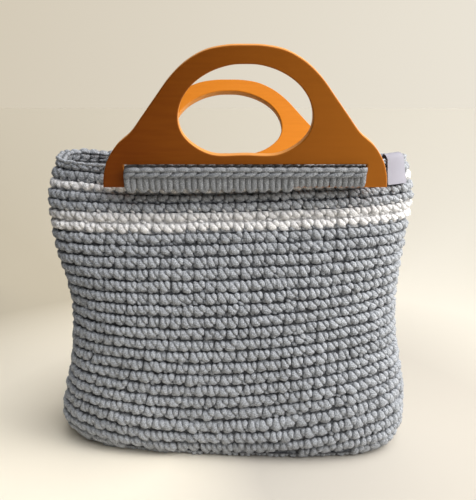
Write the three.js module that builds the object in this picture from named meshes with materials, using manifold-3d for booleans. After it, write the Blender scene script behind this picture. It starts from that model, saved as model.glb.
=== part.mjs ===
// Crocheted cord bag with two arched wooden handles. Millimetres, +Z up, the front faces -Y.
// The origin is the middle of the underside of the base.
import * as THREE from 'three';
import { mergeVertices } from 'three/addons/utils/BufferGeometryUtils.js';
import Module from 'manifold-3d';

const wasm = await Module();
wasm.setup();

// Crochet fabric
const FABRIC_THICKNESS = 8;
const ROW_GROOVE = 1.5;          // how far the groove between two rows lies below the stitches
const STATIONS_ROUND = 56;       // points round one row of the wall
const PIECE_GAP = 0.3;           // clearance between neighbouring pieces

// Rows of stitches, counted from the edge of the base up to the rim
const ROW_TOP_MAIN_WALL = 19;
const ROW_TOP_WHITE_STRIPE = 21;
const ROW_TOP_UPPER_BAND = 23;
const ROW_TOP_WHITE_LINE = 24;
const ROW_TOP_RIM = 26;

// Outer surface of the standing bag. squareness: 2 is an ellipse, larger is squarer in plan.
// rise_right: how much higher a row is at the right end than at the left.
// rise_ends: how much higher a row is at both ends than in the middle.
// rise_back: how much higher a row is at the back than at the front.
// aside: how far the middle of a row lies to the right.
// turned_deg: how far a row is turned about the vertical; below zero its right end comes forward.
// rise_twist: how much higher a row is at the right of the back and the left of the front.
const SECTION_COLUMNS = [
  'row', 'height', 'half_width', 'half_depth', 'squareness', 'rise_right', 'rise_ends', 'rise_back', 'aside',
  'turned_deg', 'rise_twist',
];
const SECTION_ROWS = [
  [0, 4, 156.5, 61, 3.1, 0, 0, 0, 0, -4.1, 0],
  [1, 16.5, 163, 68, 3.15, 4, 0, 0, -0.4, -4.1, 0],
  [2, 28.5, 165.5, 70, 3.2, 7, 0, 0, -0.7, -4.1, 0],
  [4, 52, 162.5, 70, 3.3, 11, 0.5, 0, 1, -3.1, 0],
  [8, 95.5, 154, 68, 3.2, 13, 3.5, 0, 1.5, -1, 0],
  [12, 137, 152.5, 64.5, 3.1, 11.5, 5.5, 0, 0.5, 0, 0],
  [16, 179, 159, 57.5, 3.3, 10, 3, 0, -1.5, 0, 0],
  [19, 209, 163, 50, 3.5, 8.5, 2, 0, -2, 0, 0],
  [22, 234, 166, 41.5, 3.6, 6.5, 3.5, 0, -2, 0, 0],
  [24, 248, 163, 35.5, 3.6, 6, 7.5, 1, -1.5, 0, 0],
  [26, 262.5, 157.5, 31.5, 4.0, 0, 8, 3.5, -0.5, 0, -2.25],
];

// The lowest rows turn under towards the base, so their inner face lies higher than their outer face
const TURN_UNDER_ROWS = 2;
const TURN_UNDER_LIFT = 4;

// Flat base
const BASE_TOP = 7.6;
const BASE_EDGE_HEIGHT = 3.5;
const BASE_FOOT_INSET = 6;       // how far the flat underside lies inside the widest line of the base
const BASE_TOP_INSET = 7.4;

// Wooden handle, drawn flat: across from its middle line, up from the bottom of its feet
const HANDLE_THICKNESS = 7.8;
const HANDLE_EDGE_ROUND = 0.8;
const HANDLE_HEIGHT = 116;
const HANDLE_OUTLINE_COLUMNS = ['half_width', 'height'];
const HANDLE_OUTLINE = [
  [120, 0],
  [119, 9.5],
  [115, 23],
  [106, 36.5],
  [94, 47],
  [84, 60],
  [72, 76],
  [60, 91.5],
  [47, 103.5],
  [31.5, 112],
  [15, 115.5],
];
const HANDLE_OUTLINE_POINTS = 60;
const HAND_HOLE_COLUMNS = ['half_width', 'height'];
const HAND_HOLE = [
  [27, 28.8],
  [42.5, 36.5],
  [51.5, 46.5],
  [54.5, 58],
  [51.5, 72.5],
  [42.5, 85.5],
  [28, 95.5],
  [12, 100.7],
];
const HAND_HOLE_BOTTOM = 28.5;
const HAND_HOLE_TOP = 101.5;
const HAND_HOLE_POINTS = 44;
const SLOT_HALF_LENGTH = 101.5;
const SLOT_BOTTOM = 11.5;
const SLOT_TOP = 20.2;

// Where each handle stands: middle of its feet, and how far its top leans away from the bag
const FRONT_HANDLE = { across: 11, out: 46, height: 248, lean_deg: 12.8, side: -1 };
const BACK_HANDLE = { across: -5, out: 46, height: 242, lean_deg: 33.5, side: 1 };

// Crocheted sleeve that wraps the bar under the slot, in the plane of the handle
const SLEEVE_END_GAP = 0.5;
const SLEEVE_TOP = 17.8;
const SLEEVE_BOTTOM = -5;
const SLEEVE_HALF_THICKNESS = 8;
const SLEEVE_ROUND = 3;
const SLEEVE_ROOT_REACH = 16;    // the root runs this far towards the wall and is cut to fit it
const SLEEVE_ROOT_TOP = 5;

// Bare ribbon folded over the rim near the right end of the front
const LABEL_WIDTH = 17;
const LABEL_THICKNESS = 1;
const LABEL_CLEARANCE = 0.7;      // from the tops of the stitches
const LABEL_BOTTOM_TURN = 0.198;  // of the way round from the middle of the front
const LABEL_TOP_TURN = 0.208;
const LABEL_STATIONS = 5;
const LABEL_BOTTOM_ROW = 22.9;
const LABEL_LEG_STEPS = 4;

const SECTIONS = SECTION_ROWS.map((values) =>
  Object.fromEntries(SECTION_COLUMNS.map((name, i) => [name, values[i]])));

// Smooth curve through one column of the section table
function sectionValue(name, row) {
  const last = SECTIONS.length - 1;
  const slope = (i) => {
    const low = SECTIONS[Math.max(i - 1, 0)];
    const high = SECTIONS[Math.min(i + 1, last)];
    return (high[name] - low[name]) / (high.row - low.row);
  };
  let i = 0;
  while (i < last - 1 && row > SECTIONS[i + 1].row) i += 1;
  const start = SECTIONS[i];
  const end = SECTIONS[i + 1];
  const span = end.row - start.row;
  const t = (row - start.row) / span;
  const startPull = slope(i) * span;
  const endPull = slope(i + 1) * span;
  const t2 = t * t;
  const t3 = t2 * t;
  return (2 * t3 - 3 * t2 + 1) * start[name] + (t3 - 2 * t2 + t) * startPull
    + (3 * t2 - 2 * t3) * end[name] + (t3 - t2) * endPull;
}

// Points evenly spaced along the plan outline, from the middle of the front towards the right
function planOutline(halfWidth, halfDepth, squareness, turns) {
  const fine = 720;
  const points = [];
  const reached = [0];
  for (let i = 0; i <= fine; i += 1) {
    const angle = (i / fine) * 2 * Math.PI - Math.PI / 2;
    const across = Math.cos(angle);
    const along = Math.sin(angle);
    const size = (Math.abs(across / halfWidth) ** squareness
      + Math.abs(along / halfDepth) ** squareness) ** (-1 / squareness);
    points.push(new THREE.Vector2(across * size, along * size));
    if (i > 0) reached.push(reached[i - 1] + points[i].distanceTo(points[i - 1]));
  }
  return turns.map((turn) => {
    const wanted = (turn - Math.floor(turn)) * reached[fine];
    let i = 0;
    while (i < fine - 1 && reached[i + 1] < wanted) i += 1;
    const part = (wanted - reached[i]) / (reached[i + 1] - reached[i]);
    return points[i].clone().lerp(points[i + 1], part);
  });
}

// A point of a plan outline, turned about the vertical as its row is
function turnedPoint(point, row) {
  const angle = THREE.MathUtils.degToRad(sectionValue('turned_deg', row));
  return point.clone().rotateAround(new THREE.Vector2(), angle);
}

// One level line of the wall, set in from the outer surface
function wallLine(row, inset, turns) {
  const halfWidth = sectionValue('half_width', row);
  const halfDepth = sectionValue('half_depth', row);
  const plan = planOutline(halfWidth - inset, halfDepth - inset, sectionValue('squareness', row), turns);
  const turnedUnder = Math.max(0, 1 - row / TURN_UNDER_ROWS);
  const lift = TURN_UNDER_LIFT * turnedUnder * (inset / FABRIC_THICKNESS);
  const height = sectionValue('height', row) + lift;
  const riseRight = sectionValue('rise_right', row);
  const riseEnds = sectionValue('rise_ends', row);
  const riseBack = sectionValue('rise_back', row);
  const riseTwist = sectionValue('rise_twist', row);
  const aside = sectionValue('aside', row);
  return plan.map((p) => {
    const right = p.x / halfWidth;
    const back = p.y / halfDepth;
    const rise = riseRight * right / 2 + riseEnds * right * right + riseBack * back / 2
      + riseTwist * right * back;
    const place = turnedPoint(p, row);
    return new THREE.Vector3(place.x + aside, place.y, height + rise);
  });
}

function evenTurns(count) {
  return Array.from({ length: count }, (_, i) => i / count);
}

// Closed tube through rings of equal length; the last ring joins the first one again
function ringBody(rings) {
  const count = rings[0].length;
  const positions = rings.flat().flatMap((p) => [p.x, p.y, p.z]);
  const faces = [];
  rings.forEach((_, level) => {
    const next = (level + 1) % rings.length;
    for (let i = 0; i < count; i += 1) {
      const j = (i + 1) % count;
      const a = level * count + i;
      const b = level * count + j;
      const c = next * count + j;
      const d = next * count + i;
      faces.push(a, b, c, a, c, d);
    }
  });
  return indexedGeometry(positions, faces);
}

// Solid through rings, closed by a flat fan at each end
function cappedBody(rings) {
  const count = rings[0].length;
  const positions = rings.flat().flatMap((p) => [p.x, p.y, p.z]);
  const faces = [];
  for (let level = 0; level < rings.length - 1; level += 1) {
    for (let i = 0; i < count; i += 1) {
      const j = (i + 1) % count;
      const a = level * count + i;
      const b = level * count + j;
      faces.push(a, b, b + count, a, b + count, a + count);
    }
  }
  const top = (rings.length - 1) * count;
  const middle = (ring) => ring.reduce((sum, p) => sum.add(p), new THREE.Vector3()).divideScalar(count);
  const lowMiddle = positions.length / 3;
  positions.push(...middle(rings[0]).toArray());
  positions.push(...middle(rings[rings.length - 1]).toArray());
  for (let i = 0; i < count; i += 1) {
    const j = (i + 1) % count;
    faces.push(lowMiddle, j, i);
    faces.push(lowMiddle + 1, top + i, top + j);
  }
  return indexedGeometry(positions, faces);
}

function indexedGeometry(positions, faces) {
  const geometry = new THREE.BufferGeometry();
  geometry.setAttribute('position', new THREE.Float32BufferAttribute(positions, 3));
  geometry.setIndex(faces);
  return geometry;
}

function toSolid(geometry) {
  const bare = geometry.clone();
  bare.deleteAttribute('normal');
  bare.deleteAttribute('uv');
  const merged = mergeVertices(bare, 1e-4);
  return new wasm.Manifold(new wasm.Mesh({
    numProp: 3,
    vertProperties: new Float32Array(merged.attributes.position.array),
    triVerts: new Uint32Array(merged.index.array),
  }));
}

function fromSolid(solid) {
  const mesh = solid.getMesh();
  const positions = [];
  for (let i = 0; i < mesh.vertProperties.length; i += mesh.numProp) {
    positions.push(...mesh.vertProperties.slice(i, i + 3));
  }
  return indexedGeometry(positions, Array.from(mesh.triVerts));
}

// Band of whole crochet rows: ribbed outside, smooth inside
function wallBand(bottomRow, topRow) {
  const turns = evenTurns(STATIONS_ROUND);
  const rowGap = PIECE_GAP / 2 / (sectionValue('height', topRow) - sectionValue('height', topRow - 1));
  const low = bottomRow + rowGap;
  const high = topRow - rowGap;
  const rings = [wallLine(low, ROW_GROOVE, turns)];
  for (let row = bottomRow; row < topRow; row += 1) {
    rings.push(wallLine(row + 0.5, 0, turns));
    rings.push(wallLine(Math.min(row + 1, high), ROW_GROOVE, turns));
  }
  const innerSteps = Math.ceil((topRow - bottomRow) / 2);
  for (let step = 0; step <= innerSteps; step += 1) {
    rings.push(wallLine(high + (low - high) * (step / innerSteps), FABRIC_THICKNESS, turns));
  }
  return ringBody(rings);
}

// Flat oval of rounds under the wall
function basePanel() {
  const turns = evenTurns(STATIONS_ROUND);
  const halfWidth = sectionValue('half_width', 0);
  const halfDepth = sectionValue('half_depth', 0);
  const squareness = sectionValue('squareness', 0);
  const level = (inset, height) => planOutline(halfWidth - inset, halfDepth - inset, squareness, turns)
    .map((p) => turnedPoint(p, 0))
    .map((p) => new THREE.Vector3(p.x, p.y, height));
  return cappedBody([
    level(BASE_FOOT_INSET, 0),
    level(ROW_GROOVE + PIECE_GAP, BASE_EDGE_HEIGHT),
    level(BASE_TOP_INSET + PIECE_GAP, BASE_TOP),
  ]);
}

// Both sides of an outline given as half widths up the right-hand side, through the middle at the top
function mirroredOutline(table, columns, bottom, top, closed, count) {
  const across = columns.indexOf('half_width');
  const up = columns.indexOf('height');
  const right = table.map((row) => new THREE.Vector3(row[across], row[up], 0));
  const left = right.map((p) => new THREE.Vector3(-p.x, p.y, 0)).reverse();
  const points = [...right, new THREE.Vector3(0, top, 0), ...left];
  if (closed) points.push(new THREE.Vector3(0, bottom, 0));
  const curve = new THREE.CatmullRomCurve3(points, closed, 'centripetal');
  const smooth = curve.getSpacedPoints(count).map((p) => new THREE.Vector2(p.x, p.y));
  return closed ? smooth.slice(0, -1) : smooth;
}

// Handle drawn flat: X across, Y up, extruded both ways from its middle plane
function handleBoard() {
  const outline = mirroredOutline(HANDLE_OUTLINE, HANDLE_OUTLINE_COLUMNS, 0, HANDLE_HEIGHT, false,
    HANDLE_OUTLINE_POINTS);
  const hole = mirroredOutline(HAND_HOLE, HAND_HOLE_COLUMNS, HAND_HOLE_BOTTOM, HAND_HOLE_TOP, true,
    HAND_HOLE_POINTS);
  const slot = [
    new THREE.Vector2(-SLOT_HALF_LENGTH, SLOT_BOTTOM),
    new THREE.Vector2(SLOT_HALF_LENGTH, SLOT_BOTTOM),
    new THREE.Vector2(SLOT_HALF_LENGTH, SLOT_TOP),
    new THREE.Vector2(-SLOT_HALF_LENGTH, SLOT_TOP),
  ];
  const shape = new THREE.Shape(outline);
  shape.holes.push(new THREE.Path(hole), new THREE.Path(slot));
  const flatDepth = HANDLE_THICKNESS - 2 * HANDLE_EDGE_ROUND;
  const board = new THREE.ExtrudeGeometry(shape, {
    depth: flatDepth,
    bevelEnabled: true,
    bevelThickness: HANDLE_EDGE_ROUND,
    bevelSize: HANDLE_EDGE_ROUND,
    bevelOffset: -HANDLE_EDGE_ROUND,
    bevelSegments: 1,
  });
  board.translate(0, 0, -flatDepth / 2);
  return board;
}

// From the flat drawing (X across, Y up the handle, Z away from the bag) to its place on the bag
function handlePlace(pose) {
  const lean = THREE.MathUtils.degToRad(pose.lean_deg);
  const up = new THREE.Vector3(0, pose.side * Math.sin(lean), Math.cos(lean));
  const out = new THREE.Vector3(0, pose.side * Math.cos(lean), -Math.sin(lean));
  const across = new THREE.Vector3().crossVectors(up, out);
  const place = new THREE.Matrix4().makeBasis(across, up, out);
  return place.setPosition(pose.across, pose.side * pose.out, pose.height);
}

function handle(pose) {
  return handleBoard().applyMatrix4(handlePlace(pose));
}

// Room kept free for the fabric of the wall, a gap outside the stitches
function wallRoom() {
  const turns = evenTurns(STATIONS_ROUND);
  const rings = [];
  for (let row = ROW_TOP_MAIN_WALL; row <= ROW_TOP_RIM; row += 0.5) {
    rings.push(wallLine(row, -PIECE_GAP, turns));
  }
  return toSolid(cappedBody(rings));
}

// Block in the plane of the handle, as long as the slot allows
function sleeveBlock() {
  const half = SLEEVE_HALF_THICKNESS;
  const round = SLEEVE_ROUND;
  const profile = new THREE.Shape();
  profile.moveTo(-SLEEVE_ROOT_REACH, SLEEVE_BOTTOM);
  profile.lineTo(half - round, SLEEVE_BOTTOM);
  profile.absarc(half - round, SLEEVE_BOTTOM + round, round, -Math.PI / 2, 0, false);
  profile.lineTo(half, SLEEVE_TOP - round);
  profile.absarc(half - round, SLEEVE_TOP - round, round, 0, Math.PI / 2, false);
  profile.lineTo(-half + round, SLEEVE_TOP);
  profile.absarc(-half + round, SLEEVE_TOP - round, round, Math.PI / 2, Math.PI, false);
  profile.lineTo(-half, SLEEVE_ROOT_TOP);
  profile.lineTo(-SLEEVE_ROOT_REACH, SLEEVE_ROOT_TOP);
  const halfLength = SLOT_HALF_LENGTH - SLEEVE_END_GAP;
  const block = new THREE.ExtrudeGeometry(profile, {
    depth: 2 * halfLength,
    bevelEnabled: false,
    curveSegments: 3,
  });
  block.translate(0, 0, -halfLength);
  // profile X runs away from the bag, profile Y up the handle, depth across it
  const turn = new THREE.Matrix4().makeBasis(
    new THREE.Vector3(0, 0, 1),
    new THREE.Vector3(0, 1, 0),
    new THREE.Vector3(-1, 0, 0),
  );
  return block.applyMatrix4(turn);
}

function sleeve(pose) {
  const barTop = SLOT_BOTTOM + PIECE_GAP;
  const barBottom = -PIECE_GAP;
  const bar = new THREE.BoxGeometry(3 * SLOT_HALF_LENGTH, barTop - barBottom, HANDLE_THICKNESS + 2 * PIECE_GAP);
  bar.translate(0, (barTop + barBottom) / 2, 0);
  const place = handlePlace(pose);
  const wrapped = toSolid(sleeveBlock().applyMatrix4(place)).subtract(toSolid(bar.applyMatrix4(place)));
  return fromSolid(wrapped.subtract(wallRoom()));
}

// Ribbon down the outside, over the rim and down the inside
function sideLabel() {
  const roundLength = planLength(ROW_TOP_RIM);
  const stations = Array.from({ length: LABEL_STATIONS }, (_, i) =>
    (i / (LABEL_STATIONS - 1) - 0.5) * (LABEL_WIDTH / roundLength));
  const turnsAt = (row) => {
    const up = (row - LABEL_BOTTOM_ROW) / (ROW_TOP_RIM - LABEL_BOTTOM_ROW);
    const middle = LABEL_BOTTOM_TURN + (LABEL_TOP_TURN - LABEL_BOTTOM_TURN) * up;
    return stations.map((station) => middle + station);
  };
  const line = (row, inset) => wallLine(row, inset, turnsAt(row));
  const over = LABEL_CLEARANCE + LABEL_THICKNESS;
  const legRows = Array.from({ length: LABEL_LEG_STEPS + 1 }, (_, i) =>
    LABEL_BOTTOM_ROW + (ROW_TOP_RIM - LABEL_BOTTOM_ROW) * (i / LABEL_LEG_STEPS));
  const raised = (points, height) => points.map((p) => new THREE.Vector3(p.x, p.y, p.z + height));
  const path = (clear, rise) => [
    ...legRows.map((row) => line(row, -clear)),
    raised(line(ROW_TOP_RIM, -clear), rise),
    raised(line(ROW_TOP_RIM, FABRIC_THICKNESS + clear), rise),
    ...legRows.map((row) => line(row, FABRIC_THICKNESS + clear)).reverse(),
  ];
  const outside = path(over, over);
  const inside = path(LABEL_CLEARANCE, LABEL_CLEARANCE).reverse();
  const loop = [...outside, ...inside];
  const rings = stations.map((_, station) => loop.map((points) => points[station]));
  return bandBody(rings);
}

function planLength(row) {
  const outline = wallLine(row, 0, evenTurns(STATIONS_ROUND));
  return outline.reduce((sum, p, i) => sum + p.distanceTo(outline[(i + 1) % outline.length]), 0);
}

// Solid through open folded loops: each loop runs out along one face and back along the other
function bandBody(rings) {
  const count = rings[0].length;
  const positions = rings.flat().flatMap((p) => [p.x, p.y, p.z]);
  const faces = [];
  for (let level = 0; level < rings.length - 1; level += 1) {
    for (let i = 0; i < count; i += 1) {
      const j = (i + 1) % count;
      const a = level * count + i;
      const b = level * count + j;
      faces.push(a, b + count, b, a, a + count, b + count);
    }
  }
  const last = (rings.length - 1) * count;
  for (let i = 0; i < count / 2 - 1; i += 1) {
    const back = count - 1 - i;
    faces.push(i, i + 1, back - 1, i, back - 1, back);
    faces.push(last + i, last + back - 1, last + i + 1, last + i, last + back, last + back - 1);
  }
  return indexedGeometry(positions, faces);
}

function greyCord() {
  return new THREE.MeshStandardMaterial({ color: 0x9a9da3, roughness: 0.9, metalness: 0 });
}

function whiteCord() {
  return new THREE.MeshStandardMaterial({ color: 0xe6e4e0, roughness: 0.9, metalness: 0 });
}

function varnishedWood() {
  return new THREE.MeshStandardMaterial({ color: 0xb96a22, roughness: 0.35, metalness: 0 });
}

function whiteSatin() {
  return new THREE.MeshStandardMaterial({ color: 0xe9e5ee, roughness: 0.45, metalness: 0 });
}

const bag = new THREE.Group();
bag.name = 'crochet_bag';

function addPiece(name, geometry, material) {
  const piece = new THREE.Mesh(geometry, material);
  piece.name = name;
  bag.add(piece);
}

addPiece('base_panel', basePanel(), greyCord());
addPiece('main_wall', wallBand(0, ROW_TOP_MAIN_WALL), greyCord());
addPiece('white_stripe', wallBand(ROW_TOP_MAIN_WALL, ROW_TOP_WHITE_STRIPE), whiteCord());
addPiece('upper_band', wallBand(ROW_TOP_WHITE_STRIPE, ROW_TOP_UPPER_BAND), greyCord());
addPiece('white_line', wallBand(ROW_TOP_UPPER_BAND, ROW_TOP_WHITE_LINE), whiteCord());
addPiece('rim', wallBand(ROW_TOP_WHITE_LINE, ROW_TOP_RIM), greyCord());
addPiece('front_sleeve', sleeve(FRONT_HANDLE), greyCord());
addPiece('back_sleeve', sleeve(BACK_HANDLE), greyCord());
addPiece('front_handle', handle(FRONT_HANDLE), varnishedWood());
addPiece('back_handle', handle(BACK_HANDLE), varnishedWood());
addPiece('side_label', sideLabel(), whiteSatin());

export default bag;
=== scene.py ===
import math

import bpy
import bmesh
import numpy as np
from mathutils import Matrix, Vector


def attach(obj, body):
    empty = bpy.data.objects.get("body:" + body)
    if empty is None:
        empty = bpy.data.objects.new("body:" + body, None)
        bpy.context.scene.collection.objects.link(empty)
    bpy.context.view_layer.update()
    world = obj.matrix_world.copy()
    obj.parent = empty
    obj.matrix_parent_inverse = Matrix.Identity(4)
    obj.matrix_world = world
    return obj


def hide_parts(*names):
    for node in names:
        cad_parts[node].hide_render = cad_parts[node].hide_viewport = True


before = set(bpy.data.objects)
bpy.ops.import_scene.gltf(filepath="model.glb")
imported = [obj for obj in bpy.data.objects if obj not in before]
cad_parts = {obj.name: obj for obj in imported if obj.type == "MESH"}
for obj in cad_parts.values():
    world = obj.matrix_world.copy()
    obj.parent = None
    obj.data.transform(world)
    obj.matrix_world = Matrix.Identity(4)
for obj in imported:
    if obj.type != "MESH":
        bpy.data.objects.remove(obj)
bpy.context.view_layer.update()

MM = 0.001
RANDOM_SEED = 7
RANDOM = np.random.default_rng(RANDOM_SEED)

# Crochet
STITCHES_ROUND = 76
STITCH_WIDTH = 10.4              # as the stitch is drawn below
STITCH_HEIGHT = 10.0
PALE_GREY_ROW = 20               # upper row of the white stripe, a little greyer than the lower one
PALE_GREY_TONE = -10.0
TONE_SPREAD = 1.0                # from one stitch to the next
DRIFT_PER_ROW = 0.09             # of a stitch, to the right with each row up
ROWS_MAIN_WALL = 19
ROWS_WHITE_STRIPE = 21
ROWS_UPPER_BAND = 23
ROWS_WHITE_LINE = 24
ROWS_RIM = 26
MAIN_WALL_PARTS = ((0, 3), (3, 7), (7, 11), (11, 15), (15, ROWS_MAIN_WALL))
RIM_ROW_EDGE = 25.2              # line between the two rim rows
FOOT_DROP = 0.33                 # rows by which the lowest round hangs down towards the floor
FOOT_DROP_ROWS = 3.0
FOOT_LINE = -0.28                # line that touches the floor, where the stitches end
ROWS_FROM_BASE = 2               # rounds that come up from the base at the two ends of the bag
ROW_RISE = 2.1                   # rows by which the lowest round is higher at the ends than in the middle
ROW_RISE_TOP = 14.0              # row from which the rounds lie level
ROW_RISE_POWER = 1.2
ROW_LOWEST_TURN = -0.02          # of the way round, where the rounds lie lowest
CORE_OUTSIDE = -4.8              # fabric behind the stitches, out from the wall's outer face
CORE_INSIDE = -5.6
CORE_POINTS_PER_STITCH = 2
CORE_LEVELS_PER_ROW = 2
SHADE_DEPTH = 1.4                # in which painted shade darkens the gaps between cords

# Unevenness of hand work, from one stitch to the next
SHAKE_TURN = 0.09                # radians
SHAKE_SIZE = 0.055               # of the stitch
SHAKE_MOVE = 0.32
STITCH_SHAKE = 1.2               # share of these three
RIM_CHAIN_SHAKE = 0.7
SLEEVE_SHAKE = 0.25              # along the sleeve, in millimetres

# Slow unevenness: waves round the bag, radians for each row, millimetres out
SWELL_WAVES = ((3, 0.35, 0.6), (5, -0.5, 0.5), (8, 0.8, 0.35))

# Outer surface of the standing bag, the same table as in the solids
SECTION_COLUMNS = ("row", "height", "half_width", "half_depth", "squareness",
                   "rise_right", "rise_ends", "rise_back", "aside", "turned_deg", "rise_twist")
SECTION_ROWS = (
    (0, 4, 156.5, 61, 3.1, 0, 0, 0, 0, -4.1, 0),
    (1, 16.5, 163, 68, 3.15, 4, 0, 0, -0.4, -4.1, 0),
    (2, 28.5, 165.5, 70, 3.2, 7, 0, 0, -0.7, -4.1, 0),
    (4, 52, 162.5, 70, 3.3, 11, 0.5, 0, 1, -3.1, 0),
    (8, 95.5, 154, 68, 3.2, 13, 3.5, 0, 1.5, -1, 0),
    (12, 137, 152.5, 64.5, 3.1, 11.5, 5.5, 0, 0.5, 0, 0),
    (16, 179, 159, 57.5, 3.3, 10, 3, 0, -1.5, 0, 0),
    (19, 209, 163, 50, 3.5, 8.5, 2, 0, -2, 0, 0),
    (22, 234, 166, 41.5, 3.6, 6.5, 3.5, 0, -2, 0, 0),
    (24, 248, 163, 35.5, 3.6, 6, 7.5, 1, -1.5, 0, 0),
    (26, 262.5, 157.5, 31.5, 4.0, 0, 8, 3.5, -0.5, 0, -2.25),
)
ROW_STEPS = 8                    # looked-up lines for each row
TURN_STEPS = 1440                # looked-up points round each line

# Legs of a stitch, as level slices: height, left edge, right edge, and how far it stands out.
# Stitches are drawn across, up, and out of the fabric with 0 at its outer face.
BROAD_LEG = (
    (8.5, -4.4, -1.5, -1.5),
    (7.8, -4.9, -0.5, -0.6),
    (6.7, -5.3, 0.6, -0.2),
    (5.2, -5.3, 1.9, 0.0),
    (3.8, -5.1, 3.0, 0.0),
    (2.5, -4.4, 3.3, -0.5),
    (1.4, -2.9, 2.3, -1.9),
)
BROAD_LEG_SIDES = 10
BROAD_LEG_ROUNDNESS = 3.0
SMALL_LEG = (
    (8.8, 0.9, 4.4, -1.5),
    (8.2, 0.0, 5.3, -0.5),
    (7.1, -0.2, 5.7, 0.0),
    (5.9, 0.4, 5.8, 0.0),
    (4.7, 1.4, 5.7, -0.5),
    (3.7, 2.5, 5.3, -1.7),
)
SMALL_LEG_ROUNDNESS = 2.7
LEG_MIDDLE = -3.7                # how deep the middle of a leg lies

# Other cords of a stitch: across, up, out, radius and, where it differs, the radius in depth
FOOT_LOOP = (
    (-5.6, 3.8, -5.2, 1.1),
    (-5.0, 2.8, -4.2, 1.6),
    (-4.1, 1.9, -3.9, 1.8),
    (-3.1, 1.2, -4.3, 1.6),
    (-2.4, 0.8, -5.0, 1.1),
)
FOOT_LOOP_SIDES = 6
INSIDE_BAR = (
    (-4.9, 6.6, -5.2, 1.6, 1.3),
    (-3.2, 7.0, -5.7, 2.7, 2.3),
    (3.0, 7.0, -5.7, 2.7, 2.3),
    (4.7, 6.6, -5.2, 1.6, 1.3),
)
INSIDE_BAR_SIDES = 6
INSIDE_LEG = (
    (-4.0, 3.6, -5.0, 1.4),
    (-1.8, 2.7, -5.7, 2.1),
    (2.0, 2.0, -5.7, 2.1),
    (4.2, 1.6, -5.0, 1.4),
)
INSIDE_LEG_SIDES = 5
RIM_CHAIN_OUTER = (
    (-7.4, 8.2, -4.2, 1.3),
    (-4.6, 9.2, -2.4, 2.2),
    (-1.0, 10.5, -1.4, 2.6),
    (2.8, 11.2, -2.0, 2.4),
    (6.2, 10.8, -3.8, 1.4),
)
RIM_CHAIN_INNER = (
    (-7.4, 10.0, -4.4, 1.3),
    (-4.4, 10.9, -6.0, 2.1),
    (-0.8, 11.4, -6.8, 2.5),
    (2.8, 11.0, -6.2, 2.2),
    (6.0, 9.8, -4.6, 1.4),
)
STRAND_SIDES = 8
STRAND_TIP = 0.6                 # radii by which a strand's tip reaches past its last ring

# Base
BASE_ROUNDS = 5
BASE_EDGE_INSET = 2.0
BASE_MIDDLE_INSET = 57.0

# Handles, drawn flat: across from the middle line, up from the bottom of the feet
HANDLE_THICKNESS = 7.8
HANDLE_EDGE_ROUND = 1.1
HANDLE_EDGE_STEPS = 2
HANDLE_OUTLINE = (
    (120, 0), (119, 9.5), (115, 23), (106, 36.5), (94, 47), (84, 60),
    (72, 76), (60, 91.5), (47, 103.5), (31.5, 112), (15, 115.5),
)
HANDLE_TOP = 116
HAND_HOLE = (
    (27, 28.8), (42.5, 36.5), (51.5, 46.5), (54.5, 58),
    (51.5, 72.5), (42.5, 85.5), (28, 95.5), (12, 100.7),
)
HAND_HOLE_BOTTOM = 28.5
HAND_HOLE_TOP = 101.5
SLOT_HALF_LENGTH = 101.5
SLOT_BOTTOM = 11.5
SLOT_TOP = 20.2
OUTLINE_STEPS = 8                # smooth points between two drawn ones
JOIN_DISTANCE = 0.01             # within which a board's doubled points become one
FLAT_FACE = 0.99                 # of the normal along the thickness, from which a face is shaded flat

# Where each handle stands: the middle of its feet, and how far its top leans away from the bag
FRONT_HANDLE = {"across": 11, "out": 46, "height": 248, "lean_deg": 12.8, "side": -1}
BACK_HANDLE = {"across": -5, "out": 46, "height": 242, "lean_deg": 33.5, "side": 1}

# Sleeves, drawn in a handle's frame
SLEEVE_STITCHES = 20
SLEEVE_HALF_LENGTH = 101.0
SLEEVE_STRAIGHT_FROM = 37.0      # the front sleeve's lower edge is scalloped up to here
SLEEVE_SHADE_TONE = -7.5               # painted shade: its cords are darker than the wall's, for the shadow that the handle's bar casts on them and their face tilting down
STRAIGHT_RIB = {"low": 1.5, "radius": 2.0, "aside": 2.4}
SCALLOPED_RIB = {"low": -3.6, "radius": 1.5, "aside": 0.8}
RIB_BELOW = ((0.6, -11, 0), (0, -4, 0), (0, 2, 0), (1.4, 4.7, 0.1))  # up from low, out, added radius
RIB_TURN = (4.2, 5.7, 2.1)       # up from low, out, radius, where the ribs spread
RIB_ABOVE = (                    # up the board, out of it, radius
    (5.5, 5.7, 2.15), (11.4, 5.6, 2.15), (14.4, 4.0, 2.1), (15.8, 0.8, 2.1), (15.6, -2.6, 2.1),
    (13.4, -5.2, 2.2), (8, -6.0, 2.3), (3, -6.4, 2.3), (0.4, -8.5, 2.1), (-0.8, -11, 2.0),
)
RIB_SPREAD = 2.5                 # to each side of the stitch's middle
RIB_BREADTH = 1.32               # of a rib, against its thickness
RIB_FLATNESS = 3.0
RIB_SHADE_TOP = 13.2             # up the board, where the ribs pass behind the chain; above it they are painted in the dark gap shade, for the shadow in the slot
RIB_SHADE_DEPTH = 2.0
SLEEVE_CHAIN_LOWER = (           # across from the stitch's middle, up, out, radius
    (-10.5, 11.0, 4.8, 1.5),
    (-7.0, 11.3, 7.0, 1.9),
    (-2.7, 12.1, 8.2, 2.1),
    (1.3, 13.3, 8.2, 2.0),
    (4.5, 14.7, 7.4, 1.4),
)
SLEEVE_CHAIN_UPPER = (
    (-6.0, 14.6, 4.6, 1.5),
    (-2.5, 15.6, 6.8, 2.0),
    (2.0, 16.9, 7.8, 2.2),
    (6.3, 17.0, 7.7, 2.1),
    (9.5, 16.0, 6.9, 1.5),
)

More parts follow.
